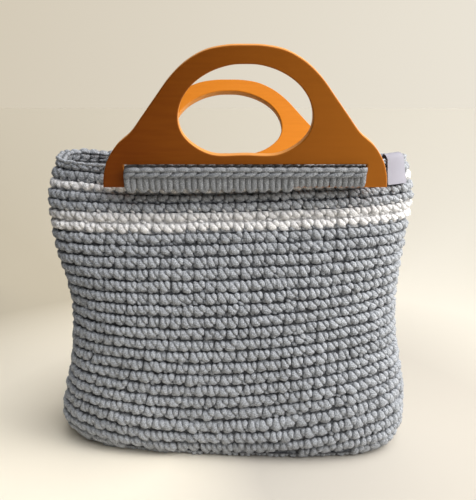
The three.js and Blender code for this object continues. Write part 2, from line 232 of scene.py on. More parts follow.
# Label
LABEL_WIDTH = 17.0
LABEL_THICKNESS = 0.7
LABEL_BOTTOM_TURN = 0.198        # of the way round from the middle of the front
LABEL_TOP_TURN = 0.208
LABEL_BOTTOM_ROW = 22.9
LABEL_OUTSIDE = 1.1              # out from the wall's outer face
LABEL_INSIDE = -9.1
LABEL_OVER_RIM = 26.85           # row that the fold reaches
LABEL_SIDE_STEPS = 7             # points up the outside, and down the inside
LABEL_FOLD_STEPS = 11
LABEL_COLUMNS = 7
LABEL_SHARP_DEG = 50

# Finishes, with colours in linear light
# The gap colours are painted shade, mixed in deep in the gaps between cords
GREY_CORD = {"colour": (0.378, 0.398, 0.43), "contrast": 0.38, "painted_gap_shade": (0.10, 0.105, 0.115)}
WHITE_CORD = {"colour": (0.79, 0.785, 0.79), "contrast": 0.2, "painted_gap_shade": (0.72, 0.715, 0.715)}
CORD_SHADER = {"Roughness": 0.92, "Sheen Weight": 0.1, "Sheen Roughness": 0.5, "Specular IOR Level": 0.2}
KNIT_LENGTH = 2.2                # of the cord's own small knit
KNIT_WIDTH = 3.4
PITS_PER_METRE = 900             # between the knit's loops
PIT_RANGE = (0.2, 0.75)          # distances in a pit's cell, from its raised middle to its edge, which is painted dark as shade
PATCHES_PER_METRE = 22
# The knit's and the pits' tones paint shade into their hollows; the stitch and patch tones are the cord's
# own uneven tone
KNIT_PAINTED_SHADE = 0.08
STITCH_TONE = 0.05
PATCH_TONE = 0.3
PIT_PAINTED_SHADE = 0.8
KNIT_HEIGHT = 0.1                # of the pits' depth
CORD_RELIEF = 0.4
CORD_RELIEF_STRENGTH = 0.8

# Painted shade: the outer face is darker than the inner one and graded darker to the left, where the light
# falls off; the inner face is paler, as lit
WOOD_OUTER_LEFT = (0.16, 0.033, 0.0005, 1)
WOOD_OUTER_RIGHT = (0.345, 0.108, 0.008, 1)
WOOD_OUTER_FIGURE = (0.50, 0.16, 0.012, 1)
WOOD_INNER_DARK = (0.56, 0.170, 0.005, 1)
WOOD_INNER_PALE = (0.61, 0.192, 0.009, 1)
WOOD_EDGE_HIGHLIGHT = (0.72, 0.30, 0.07, 1)
WOOD_GRADED = 100                # across from the middle, where the outer face's painted shade reaches its end colours
WOOD_FIGURE_SHARE = 0.12         # of the figure on the outer face
WOOD_EDGE_START = 0.1            # in from the face, where the edges' painted highlight starts
GRAIN_STRETCH = (9, 110, 60)
GRAIN_SCALE = 3.0
GRAIN_DETAIL = 6.0
GRAIN_SHARE = 0.6                # of the figure; the rest is clouds
WOOD_CLOUDS_PER_METRE = 14
FIGURE_RANGE = (0.35, 0.65)
WOOD_CLOUD_RANGE = (0.3, 0.7)
WOOD_ROUGHNESS = (0.42, 0.54)
WOOD_SPECULAR = 0.12
WOOD_RELIEF = 0.06
WOOD_RELIEF_STRENGTH = 0.5

SATIN_DARK = (0.27, 0.266, 0.312, 1)
SATIN_PALE = (0.34, 0.335, 0.385, 1)
SATIN_SHADER = {"Roughness": 0.5, "Specular IOR Level": 0.12}
WEAVE_SCALE = 900.0
WEAVE_DISTORTION = 0.6
WEAVE_SHARE = 0.4                # of the ribbon's tone; the rest is clouds
SATIN_CLOUDS_PER_METRE = 60
SATIN_RELIEF = 0.05
SATIN_RELIEF_STRENGTH = 0.5

NOISE_DETAIL = 3.0

# Stage, in metres
FLOOR_HALF = 30.0
# Painted light: near the bag the floor is paler on the left against the bag's shadow and darker on the
# right under the window; far off it is darker to the left and paler to the right, as the room's light falls
FLOOR_NEAR_LEFT = (0.90, 0.835, 0.705, 1)
FLOOR_NEAR_RIGHT = (0.53, 0.496, 0.441, 1)
FLOOR_FAR_LEFT = (0.485, 0.432, 0.333, 1)
FLOOR_FAR_RIGHT = (0.739, 0.70, 0.617, 1)
FLOOR_NEAR_SIDES = (-0.6, 0.25)  # sideways part of the way out, from the left colour to the right one
FLOOR_NEAR_TO_FAR = (0.28, 0.5)
FLOOR_MIDDLE = 0.1               # nearer than this, the sideways part fades
FLOOR_ROUGHNESS = 0.7
FLOOR_GRAINS_PER_METRE = 300
FLOOR_RELIEF = 0.0001
FLOOR_RELIEF_STRENGTH = 0.3
CARD_LEFT = -0.42
CARD_RIGHT = 1.0
CARD_FRONT = -0.8
CARD_BACK = 0.5
CARD_HEIGHT = 0.8
CARD_COLOUR = (0.03, 0.03, 0.035, 1)
CARD_ROUGHNESS = 0.9
ROOM_LEFT = (0.62, 0.55, 0.43, 1)
ROOM_RIGHT = (0.87, 0.82, 0.72, 1)
ROOM_UPPER_FRONT = (0.055, 0.06, 0.07, 1)
ROOM_SIDES = (-0.5, 0.5)
ROOM_BEHIND = (0.05, 0.7)        # from the dim front to the pale back
ROOM_LOW = (0.35, 0.2)           # from the dim upper part to the pale lower one
WINDOW = {"place": (0.5, -0.2, 0.5), "target": (0, 0, 0.15), "size": 0.5, "power": 3.1,
          "colour": (1.0, 0.96, 0.90)}
CEILING = {"towards": (0.64, -0.45, 1), "strength": 3.7, "spread_deg": 75, "colour": (1.0, 1.0, 1.0)}

# Camera, fitted to the photograph
IMAGE_HEIGHT = 500
FOCAL_PIXELS = 640
SENSOR = 36.0
CAMERA_PLACE = (5, -588.5, 318.4)
CAMERA_PITCH_DEG = 13.1
CAMERA_NEAREST = 10


# Surfaces

def section_values(name, rows):
    """Smooth curve through one column of the section table."""
    table = np.array(SECTION_ROWS, float)
    at = table[:, 0]
    value = table[:, SECTION_COLUMNS.index(name)]
    slope = np.empty_like(value)
    slope[1:-1] = (value[2:] - value[:-2]) / (at[2:] - at[:-2])
    slope[0] = (value[1] - value[0]) / (at[1] - at[0])
    slope[-1] = (value[-1] - value[-2]) / (at[-1] - at[-2])
    i = np.clip(np.searchsorted(at, rows, side="right") - 1, 0, len(at) - 2)
    span = at[i + 1] - at[i]
    t = (rows - at[i]) / span
    return ((2 * t**3 - 3 * t**2 + 1) * value[i] + (t**3 - 2 * t**2 + t) * span * slope[i]
            + (3 * t**2 - 2 * t**3) * value[i + 1] + (t**3 - t**2) * span * slope[i + 1])


def plan_outline(half_width, half_depth, squareness, turns):
    """Points evenly spaced round the plan outline, and its length.

    They run from the middle of the front to the right.
    """
    angle = np.linspace(0, 2 * np.pi, TURN_STEPS + 1) - np.pi / 2
    across = np.cos(angle)
    along = np.sin(angle)
    size = (np.abs(across / half_width) ** squareness
            + np.abs(along / half_depth) ** squareness) ** (-1 / squareness)
    x = across * size
    y = along * size
    reached = np.concatenate([[0], np.cumsum(np.hypot(np.diff(x), np.diff(y)))])
    wanted = turns * reached[-1]
    return np.interp(wanted, reached, x), np.interp(wanted, reached, y), reached[-1]


def turned(x, y, degrees):
    angle = math.radians(degrees)
    return x * math.cos(angle) - y * math.sin(angle), x * math.sin(angle) + y * math.cos(angle)


def unit(vectors):
    return vectors / np.linalg.norm(vectors, axis=-1, keepdims=True)


class Surface:
    """Points and outward normals on a grid of lines, looked up by line and by turn."""

    def __init__(self, lines, points):
        self.lines = lines
        self.points = points
        along = np.roll(points, -1, axis=1) - np.roll(points, 1, axis=1)
        up = np.gradient(points, axis=0)
        self.normals = unit(np.cross(along, up))

    def at(self, line, turn, out):
        line, turn, out = np.broadcast_arrays(line, turn, out)
        step = self.lines[1] - self.lines[0]
        v = (line - self.lines[0]) / step
        i = np.clip(np.floor(v).astype(int), 0, len(self.lines) - 2)
        count = self.points.shape[1]
        u = (turn % 1.0) * count
        j = np.floor(u).astype(int) % count
        k = (j + 1) % count
        s = (v - i)[..., None]
        t = (u - np.floor(u))[..., None]

        def blend(grid):
            low = grid[i, j] * (1 - t) + grid[i, k] * t
            high = grid[i + 1, j] * (1 - t) + grid[i + 1, k] * t
            return low * (1 - s) + high * s

        return blend(self.points) + blend(self.normals) * out[..., None]


def slow_swell(lines, turns):
    total = np.zeros((len(lines), len(turns)))
    for waves, lean, size in SWELL_WAVES:
        start = RANDOM.uniform(0, 2 * np.pi)
        total += size * np.sin(2 * np.pi * waves * turns[None] + lean * lines[:, None] + start)
    return total


def wall_surface():
    lines = np.linspace(0, ROWS_RIM, ROWS_RIM * ROW_STEPS + 1)
    turns = np.arange(TURN_STEPS) / TURN_STEPS
    column = {name: section_values(name, lines) for name in SECTION_COLUMNS[1:]}
    points = np.empty((len(lines), TURN_STEPS, 3))
    for i in range(len(lines)):
        half_width = column["half_width"][i]
        half_depth = column["half_depth"][i]
        x, y, _ = plan_outline(half_width, half_depth, column["squareness"][i], turns)
        right = x / half_width
        back = y / half_depth
        rise = (column["rise_right"][i] * right / 2 + column["rise_ends"][i] * right**2
                + column["rise_back"][i] * back / 2 + column["rise_twist"][i] * right * back)
        x, y = turned(x, y, column["turned_deg"][i])
        points[i, :, 0] = x + column["aside"][i]
        points[i, :, 1] = y
        points[i, :, 2] = column["height"][i] + rise
    smooth = Surface(lines, points)
    return Surface(lines, points + smooth.normals * slow_swell(lines, turns)[..., None])


def base_size(inset):
    """Half width, half depth and squareness of the base's outline, moved in by an inset."""
    first = np.zeros(1)
    half_width = section_values("half_width", first)[0]
    half_depth = section_values("half_depth", first)[0]
    return half_width - inset, half_depth - inset, section_values("squareness", first)[0]


def base_inset(line):
    """How far inside the base's edge a line lies."""
    return BASE_MIDDLE_INSET + (BASE_EDGE_INSET - BASE_MIDDLE_INSET) * line


def base_surface():
    """Underside of the base: lines run from the middle out to the edge."""
    lines = np.linspace(0, 1, BASE_ROUNDS * ROW_STEPS + 1)
    turns = np.arange(TURN_STEPS) / TURN_STEPS
    points = np.zeros((len(lines), TURN_STEPS, 3))
    for i, line in enumerate(lines):
        x, y, _ = plan_outline(*base_size(base_inset(line)), turns)
        points[i, :, 0], points[i, :, 1] = turned(x, y, section_values("turned_deg", np.zeros(1))[0])
    surface = Surface(lines, points)
    surface.normals[...] = (0, 0, -1)
    return surface


def row_edges():
    """Lines where the rows of stitches meet."""
    edges = np.arange(ROWS_RIM + 1, dtype=float)
    edges[-2] = RIM_ROW_EDGE
    return edges


def row_rise(line, turn):
    """How much higher low rounds lie towards the two ends of the bag, in rows."""
    low_down = np.clip(1 - line / ROW_RISE_TOP, 0, None) ** ROW_RISE_POWER
    to_ends = (1 - np.cos(4 * np.pi * (turn - ROW_LOWEST_TURN))) / 2
    return ROW_RISE * low_down * to_ends


WALL = wall_surface()
BASE = base_surface()
ROW_EDGES = row_edges()


# Meshes from arrays

def ring_quads(rings, count, closed=False):
    """Quads between neighbouring rings of points; a closed set joins its last ring to its first."""
    i, j = np.meshgrid(np.arange(rings if closed else rings - 1), np.arange(count), indexing="ij")
    up = (i + 1) % rings
    on = (j + 1) % count
    quads = np.stack([i * count + j, i * count + on, up * count + on, up * count + j], axis=-1)
    return quads.reshape(-1, 4)


class Strand:
    """Closed strand along a few points, each with its own radius to the side and, if given, in depth."""

    def __init__(self, points, radii, depths=None, sides=STRAND_SIDES, aside=(0.0, 0.0, 1.0),
                 roundness=2.0, level=False):
        path = np.array(points, float)
        radii = np.array(radii, float)
        depths = radii if depths is None else np.array(depths, float)
        tangent = unit(np.gradient(path, axis=0))
        side = unit(np.cross(tangent, aside))
        rise = np.cross(side, tangent)
        if level:
            side = np.broadcast_to((-1.0, 0.0, 0.0), path.shape)
            rise = np.broadcast_to((0.0, 0.0, 1.0), path.shape)
        angle = np.arange(sides) * 2 * np.pi / sides
        ring_side = np.sign(np.cos(angle)) * np.abs(np.cos(angle)) ** (2 / roundness)
        ring_rise = np.sign(np.sin(angle)) * np.abs(np.sin(angle)) ** (2 / roundness)
        body = (path[:, None] + side[:, None] * ring_side[None, :, None] * radii[:, None, None]
                + rise[:, None] * ring_rise[None, :, None] * depths[:, None, None])
        start = path[0] - tangent[0] * radii[0] * STRAND_TIP
        end = path[-1] + tangent[-1] * radii[-1] * STRAND_TIP
        self.points = np.concatenate([body.reshape(-1, 3), [start, end]])
        self.join_rings(len(path), sides)
        along = np.concatenate([[0], np.cumsum(np.linalg.norm(np.diff(path, axis=0), axis=1))])
        self.lay_uv(along, 2 * np.pi * radii.mean() / sides, sides)

    def join_rings(self, rings, sides):
        self.quads = ring_quads(rings, sides)[:, [0, 3, 2, 1]]
        j = np.arange(sides)
        k = (j + 1) % sides
        start = np.full(sides, rings * sides)
        last = (rings - 1) * sides
        self.tris = np.concatenate([np.stack([start, j, k], axis=-1),
                                    np.stack([start + 1, last + k, last + j], axis=-1)])

    def lay_uv(self, along, around, sides):
        """Millimetres along the strand and round it."""
        u = np.stack([along[:-1], along[1:], along[1:], along[:-1]], axis=-1)
        j = np.arange(sides)
        v = np.stack([j, j, j + 1, j + 1], axis=-1) * around
        self.quad_uv = np.stack(np.broadcast_arrays(u[:, None], v[None]), axis=-1).reshape(-1, 4, 2)
        cap_u = np.repeat([along[0], along[-1]], sides)[:, None] + np.zeros(3)
        cap_v = np.tile(np.stack([j + 0.5, j, j + 1], axis=-1), (2, 1)) * around
        self.tri_uv = np.stack([cap_u, cap_v], axis=-1)


class Template:
    """Several strands as one set of arrays."""

    def __init__(self, *strands):
        first = np.cumsum([0] + [len(s.points) for s in strands])
        self.points = np.concatenate([s.points for s in strands])
        self.quads = np.concatenate([s.quads + f for s, f in zip(strands, first)])
        self.tris = np.concatenate([s.tris + f for s, f in zip(strands, first)])
        self.quad_uv = np.concatenate([s.quad_uv for s in strands])
        self.tri_uv = np.concatenate([s.tri_uv for s in strands])


class Pieces:
    """Arrays of many placed templates, joined into one mesh at the end."""

    def __init__(self):
        self.parts = []
        self.count = 0

    def add(self, points, quads, tris, quad_uv, tri_uv, tone, shade):
        self.parts.append((points, quads + self.count, tris + self.count, quad_uv, tri_uv, tone, shade))
        self.count += len(points)

    def add_copies(self, template, placed, tone, shade):
        """Adds one copy of the template for each set of placed points.

        Each copy has one tone. The shade of a point, which paints shade into the gaps, is 0 deep in a gap
        and 1 outside.
        """
        copies, size = placed.shape[:2]
        shift = (np.arange(copies) * size)[:, None, None]
        self.add(placed.reshape(-1, 3), (template.quads + shift).reshape(-1, 4),
                 (template.tris + shift).reshape(-1, 3), np.tile(template.quad_uv, (copies, 1, 1)),
                 np.tile(template.tri_uv, (copies, 1, 1)), np.repeat(tone, size), shade.ravel())

    def add_ring_tube(self, rings):
        """Closed tube of closed rings; the last ring joins the first. Its shade is 0 all over, so it takes
        the painted gap shade.
        """
        levels, count = rings.shape[:2]
        quads = ring_quads(levels, count, closed=True)
        self.add(rings.reshape(-1, 3), quads, np.empty((0, 3), int), np.zeros((len(quads), 4, 2)),
                 np.empty((0, 3, 2)), np.zeros(levels * count), np.zeros(levels * count))

    def to_object(self, name, material, slot, *nodes):
        joined = (np.concatenate(each) for each in zip(*self.parts))
        points, quads, tris, quad_uv, tri_uv, tone, shade = joined
        mesh = bpy.data.meshes.new(name)
        mesh.vertices.add(len(points))
        mesh.vertices.foreach_set("co", (points * MM).ravel())
        loops = np.concatenate([quads.ravel(), tris.ravel()])
        mesh.loops.add(len(loops))
        mesh.loops.foreach_set("vertex_index", loops)
        starts = np.concatenate([np.arange(len(quads)) * 4, quads.size + np.arange(len(tris)) * 3])
        mesh.polygons.add(len(starts))
        mesh.polygons.foreach_set("loop_start", starts)
        mesh.polygons.foreach_set("use_smooth", np.ones(len(starts), bool))
        mesh.update(calc_edges=True)
        mesh.validate()
        uv = mesh.uv_layers.new(name="cord")
        uv.data.foreach_set("uv", np.concatenate([quad_uv.ravel(), tri_uv.ravel()]))
        mesh.attributes.new("tone", "FLOAT", "POINT").data.foreach_set("value", tone)
        mesh.attributes.new("shade", "FLOAT", "POINT").data.foreach_set("value", shade)
        return add_piece(name, mesh, material, slot, *nodes)


def add_piece(name, mesh, material, slot, *nodes, place=Matrix.Identity(4)):
    piece = bpy.data.objects.new(name, mesh)
    bpy.context.scene.collection.objects.link(piece)
    piece.matrix_world = place
    mesh.materials.append(material)
    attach(piece, "root")
    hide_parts(*nodes)
    return piece


# Stitches

def sliced_leg(slices, **shape):
    """Leg of a stitch from its level slices."""
    height, left, right, crest = np.array(slices).T
    middle = np.stack([(left + right) / 2, height, np.full(len(height), LEG_MIDDLE)], axis=-1)
    return Strand(middle, (right - left) / 2, crest - LEG_MIDDLE, level=True, **shape)


def drawn_cord(table, across=0.0, **shape):
    """Cord from a table of points and radii, moved across."""
    column = np.array(table, float)
    depths = column[:, 4] if column.shape[1] > 4 else None
    return Strand(column[:, :3] + (across, 0.0, 0.0), column[:, 3], depths, **shape)


def outside_legs():
    """Right side of single crochet: a broad leg slanting down to the right, a small one up beside it."""
    broad = sliced_leg(BROAD_LEG, sides=BROAD_LEG_SIDES, roundness=BROAD_LEG_ROUNDNESS)
    small = sliced_leg(SMALL_LEG, roundness=SMALL_LEG_ROUNDNESS)
    return Template(broad, small)


def outside_foot():
    """Loop of the row below, at the lower left of a stitch."""
    return Template(drawn_cord(FOOT_LOOP, sides=FOOT_LOOP_SIDES))


def inside_bars():
    """Wrong side: a thick bar across the top of the stitch and a thinner one below it."""
    bar = drawn_cord(INSIDE_BAR, sides=INSIDE_BAR_SIDES)
    leg = drawn_cord(INSIDE_LEG, sides=INSIDE_LEG_SIDES)
    return Template(bar, leg)


def rim_chain():
    """Chain that lies along the top of the rim: an outer and an inner strand for each stitch."""
    return Template(drawn_cord(RIM_CHAIN_OUTER), drawn_cord(RIM_CHAIN_INNER))


LEGS = outside_legs()
FOOT = outside_foot()
BARS = inside_bars()
CHAIN = rim_chain()


def shaken(template, copies, amount):
    """Copies of a template, each turned, sized and moved a little, as hand work is."""
    centre = np.array([0, STITCH_HEIGHT / 2, CORE_OUTSIDE])
    angle = RANDOM.normal(0, SHAKE_TURN * amount, copies)[:, None]
    scale = 1 + RANDOM.normal(0, SHAKE_SIZE * amount, (copies, 1, 3))
    move = RANDOM.normal(0, SHAKE_MOVE * amount, (copies, 1, 3))
    at = (template.points - centre) * scale
    x = at[..., 0] * np.cos(angle) - at[..., 1] * np.sin(angle)
    y = at[..., 0] * np.sin(angle) + at[..., 1] * np.cos(angle)
    return np.stack([x, y, at[..., 2]], axis=-1) + centre + move


def gap_shade(out):
    """Painted shade of the gaps between cords: 0 in the middle of the fabric and 1 towards its two faces.
    """
    return np.clip(np.maximum(out - CORE_OUTSIDE, CORE_INSIDE - out) / SHADE_DEPTH, 0, 1)


def stitch_row(pieces, template, surface, low, high, count, start, amount=STITCH_SHAKE, tone=0.0):
    """One round of copies on a surface between two of its lines.

    Copies that lie below the surface's first line are left out, and nothing reaches below the floor.
    """
    local = shaken(template, count, amount)
    turn = (np.arange(count)[:, None] + start + local[..., 0] / STITCH_WIDTH) / count
    line = low + (high - low) * local[..., 1] / STITCH_HEIGHT
    if surface is WALL:
        line = line + row_rise(line, turn) - FOOT_DROP * np.clip(1 - line / FOOT_DROP_ROWS, 0, 1)
    shown = line.mean(axis=1) > surface.lines[0]
    line = np.maximum(line, FOOT_LINE)
    placed = surface.at(line, turn, local[..., 2])[shown]
    placed[..., 2] = np.maximum(placed[..., 2], 0)
    tones = RANDOM.normal(tone, TONE_SPREAD, count)[shown]
    pieces.add_copies(template, placed, tones, gap_shade(local[..., 2])[shown])


def core_tube(pieces, surface, low, high, rows):
    """Fabric behind the stitches, so that no light comes through between them; it is painted in the dark
    gap shade.
    """
    count = CORE_POINTS_PER_STITCH * STITCHES_ROUND
    turns = np.arange(count) / count
    lines = np.linspace(low, high, CORE_LEVELS_PER_ROW * rows + 1)
    outer = [surface.at(line, turns, CORE_OUTSIDE) for line in lines]
    inner = [surface.at(line, turns, CORE_INSIDE) for line in lines[::-1]]
    pieces.add_ring_tube(np.array(outer + inner))


def wall_row(pieces, template, row, drift_rows, **look):
    """One round of the wall; a round that comes up from the base has a row number below 0."""
    low, high = (ROW_EDGES[row], ROW_EDGES[row + 1]) if row >= 0 else (row, row + 1)
    stitch_row(pieces, template, WALL, low, high, STITCHES_ROUND, drift_rows * DRIFT_PER_ROW, **look)


def wall_band(name, rows, material, slot, node):
    """Rounds of stitches from one row up to another; the feet in the row above are of the same cord."""
    first, last = rows
    lowest = first if first else -ROWS_FROM_BASE
    pieces = Pieces()
    for row in range(lowest, last):
        tone = PALE_GREY_TONE if row == PALE_GREY_ROW else 0.0
        for template in (LEGS, BARS):
            wall_row(pieces, template, row, row, tone=tone)
    for row in range(lowest + 1, min(last + 1, ROWS_RIM)):
        wall_row(pieces, FOOT, row, row)
    if last == ROWS_RIM:
        wall_row(pieces, CHAIN, last - 1, last, amount=RIM_CHAIN_SHAKE)
    core_tube(pieces, WALL, ROW_EDGES[first], ROW_EDGES[last], last - first)
    return pieces.to_object(name, material, slot, node)


def base_rounds(material):
    pieces = Pieces()
    for ring in range(BASE_ROUNDS):
        low = ring / BASE_ROUNDS
        high = (ring + 1) / BASE_ROUNDS
        length = plan_outline(*base_size(base_inset((low + high) / 2)), np.zeros(1))[2]
        count = round(length / STITCH_WIDTH)
        for template in (LEGS, FOOT, BARS):
            stitch_row(pieces, template, BASE, low, high, count, ring * DRIFT_PER_ROW)
    core_tube(pieces, BASE, 0, 1, BASE_ROUNDS)
    return pieces.to_object("base_rounds", material, "grey_cord", "base_panel")


# Handles

def smooth_line(points, closed=False):
    """Centripetal curve through a few points, as in the solids."""
    at = np.array(points, float)
    if closed:
        at = np.concatenate([at[-1:], at, at[:2]])
    else:
        at = np.concatenate([[2 * at[0] - at[1]], at, [2 * at[-1] - at[-2]]])
    steps = np.sqrt(np.linalg.norm(np.diff(at, axis=0), axis=1))
    knot = np.concatenate([[0], np.cumsum(steps)])

    def mix(a, b, low, high, t):
        return ((high - t) * a + (t - low) * b) / (high - low)

    line = []
    for i in range(len(at) - 3):
        p = at[i:i + 4]
        k = knot[i:i + 4]
        for t in np.linspace(k[1], k[2], OUTLINE_STEPS, endpoint=False):
            a = [mix(p[n], p[n + 1], k[n], k[n + 1], t) for n in range(3)]
            b = [mix(a[n], a[n + 1], k[n], k[n + 2], t) for n in range(2)]
            line.append(mix(b[0], b[1], k[1], k[2], t))
    if not closed:
        line.append(at[-2])
    return np.array(line)


def mirrored(points):
    """The other half of a drawing, in the opposite order."""
    return [(-across, up) for across, up in reversed(points)]


def handle_outlines():
    outline = smooth_line([*HANDLE_OUTLINE, (0, HANDLE_TOP), *mirrored(HANDLE_OUTLINE)])
    right_of_hole = [(0, HAND_HOLE_BOTTOM), *HAND_HOLE, (0, HAND_HOLE_TOP)]
    hole = smooth_line([*right_of_hole, *mirrored(HAND_HOLE)], closed=True)
    slot = [(SLOT_HALF_LENGTH, SLOT_BOTTOM), (SLOT_HALF_LENGTH, SLOT_TOP),
            (-SLOT_HALF_LENGTH, SLOT_TOP), (-SLOT_HALF_LENGTH, SLOT_BOTTOM)]
    return outline, hole, slot


def handle_place(handle):
    """Across, up and out of the board, in millimetres."""
    lean = math.radians(handle["lean_deg"])
    side = handle["side"]
    up = Vector((0, side * math.sin(lean), math.cos(lean)))
    out = Vector((0, side * math.cos(lean), -math.sin(lean)))
    turn = Matrix((up.cross(out), up, out)).transposed().to_4x4()
    return Matrix.Translation((handle["across"], side * handle["out"], handle["height"])) @ turn


def board_mesh(name):
    """Flat board with rounded edges from its outlines."""
    drawing = bpy.data.curves.new(name, "CURVE")
    drawing.dimensions = "2D"
    drawing.fill_mode = "BOTH"
    drawing.extrude = (HANDLE_THICKNESS / 2 - HANDLE_EDGE_ROUND) * MM
    drawing.bevel_depth = HANDLE_EDGE_ROUND * MM
    drawing.offset = -HANDLE_EDGE_ROUND * MM
    drawing.bevel_resolution = HANDLE_EDGE_STEPS
    for outline in handle_outlines():
        spline = drawing.splines.new("POLY")
        spline.points.add(len(outline) - 1)
        spline.use_cyclic_u = True
        for point, (across, up) in zip(spline.points, outline):
            point.co = (across * MM, up * MM, 0, 1)
    holder = bpy.data.objects.new(name, drawing)
    bpy.context.scene.collection.objects.link(holder)
    mesh = bpy.data.meshes.new_from_object(holder.evaluated_get(bpy.context.evaluated_depsgraph_get()))
    bpy.data.objects.remove(holder)
    work = bmesh.new()
    work.from_mesh(mesh)
    bmesh.ops.remove_doubles(work, verts=work.verts, dist=JOIN_DISTANCE * MM)
    bmesh.ops.recalc_face_normals(work, faces=work.faces)
    for face in work.faces:
        face.smooth = abs(face.normal.z) < FLAT_FACE
    work.to_mesh(mesh)
    work.free()
    mesh.materials.clear()
    return mesh


def handle_board(name, handle, material, node):
    place = handle_place(handle)
    place.translation *= MM
    return add_piece(name, board_mesh(name), material, "varnished_wood", node, place=place)


# Sleeves

def sleeve_rib(middle, side, form):
    """Cord from the wall, under the bar, up its outer face, over the top and back to the wall."""
    low = form["low"]
    gathered = middle + form["aside"] * side
    spread = middle + RIB_SPREAD * side
    turn_up, turn_out, turn_radius = RIB_TURN
    below = [(gathered, low + up, out, form["radius"] + more) for up, out, more in RIB_BELOW]
    above = [(spread, up, out, radius) for up, out, radius in RIB_ABOVE]
    column = np.array([*below, (spread, low + turn_up, turn_out, turn_radius), *above])
    radii = column[:, 3]
    return Strand(column[:, :3], radii, radii * RIB_BREADTH, aside=(1.0, 0.0, 0.0), roundness=RIB_FLATNESS)


def sleeve_chain(middle):
    """Two strands along the top of the sleeve's outer face, with an eyelet between them in each stitch."""
    chain = Template(drawn_cord(SLEEVE_CHAIN_LOWER, middle), drawn_cord(SLEEVE_CHAIN_UPPER, middle))
    chain.points[:, 0] = np.clip(chain.points[:, 0], -SLEEVE_HALF_LENGTH, SLEEVE_HALF_LENGTH)
    return chain


def sleeve(name, handle, straight_from, material, node):
    pieces = Pieces()
    place = np.array(handle_place(handle))
    pitch = 2 * SLEEVE_HALF_LENGTH / SLEEVE_STITCHES
    for stitch in range(SLEEVE_STITCHES):
        middle = pitch * (stitch + 0.5) - SLEEVE_HALF_LENGTH + RANDOM.normal(0, SLEEVE_SHAKE)
        form = STRAIGHT_RIB if middle > straight_from else SCALLOPED_RIB
        ribs = Template(sleeve_rib(middle, -1, form), sleeve_rib(middle, 1, form))
        # Painted shade: the ribs turn dark where they pass behind the chain and over the bar
        rib_shade = np.clip((RIB_SHADE_TOP - ribs.points[:, 1]) / RIB_SHADE_DEPTH, 0, 1)
        chain = sleeve_chain(middle)
        for template, shade in ((ribs, rib_shade), (chain, np.ones(len(chain.points)))):
            world = template.points @ place[:3, :3].T + place[:3, 3]
            # The sleeve's lowered tone is painted shade
            pieces.add_copies(template, world[None], RANDOM.normal(SLEEVE_SHADE_TONE, TONE_SPREAD, 1), shade)
    return pieces.to_object(name, material, "grey_cord", node)


# Label

def label_path():
    """Row and distance out of the wall, up the outside, over the rim and down the inside."""
    up_rows = np.linspace(LABEL_BOTTOM_ROW, ROWS_RIM, LABEL_SIDE_STEPS)
    down_rows = np.linspace(ROWS_RIM, LABEL_BOTTOM_ROW, LABEL_SIDE_STEPS)
    middle = (LABEL_OUTSIDE + LABEL_INSIDE) / 2
    reach = (LABEL_OUTSIDE - LABEL_INSIDE) / 2
    outside = [(row, LABEL_OUTSIDE) for row in up_rows]
    over = [(ROWS_RIM + (LABEL_OVER_RIM - ROWS_RIM) * math.sin(angle), middle + reach * math.cos(angle))
            for angle in np.linspace(0, math.pi, LABEL_FOLD_STEPS)[1:-1]]
    inside = [(row, LABEL_INSIDE) for row in down_rows]
    return np.array(outside + over + inside)


def label_strip(material):
    """Satin ribbon with its two ends sewn to the outside and the inside of the wall."""
    path = label_path()
    rim = WALL.at(ROWS_RIM, np.arange(TURN_STEPS) / TURN_STEPS, 0.0)
    perimeter = np.linalg.norm(np.diff(rim, axis=0), axis=1).sum()
    up = np.clip((path[:, 0] - LABEL_BOTTOM_ROW) / (ROWS_RIM - LABEL_BOTTOM_ROW), 0, 1)
    turn = LABEL_BOTTOM_TURN + (LABEL_TOP_TURN - LABEL_BOTTOM_TURN) * up
    across = turn[:, None] + np.linspace(-0.5, 0.5, LABEL_COLUMNS)[None] * LABEL_WIDTH / perimeter
    middle = WALL.at(path[:, 0][:, None], across, path[:, 1][:, None])
    along = np.gradient(middle, axis=0)
    side = np.gradient(middle, axis=1)
    out = unit(np.cross(side, along)) * LABEL_THICKNESS / 2
    loops = np.concatenate([middle + out, (middle - out)[:, ::-1]], axis=1)
    rows, count = loops.shape[:2]
    low_end = [tuple(range(count))[::-1]]
    high_end = [tuple((rows - 1) * count + j for j in range(count))]
    faces = ring_quads(rows, count).tolist() + low_end + high_end
    mesh = bpy.data.meshes.new("side_label_strip")
    mesh.from_pydata((loops.reshape(-1, 3) * MM).tolist(), [], faces)
    mesh.shade_smooth()
    mesh.set_sharp_from_angle(angle=math.radians(LABEL_SHARP_DEG))
    label = add_piece("side_label_strip", mesh, material, "white_satin", "side_label")
    return label


# Materials

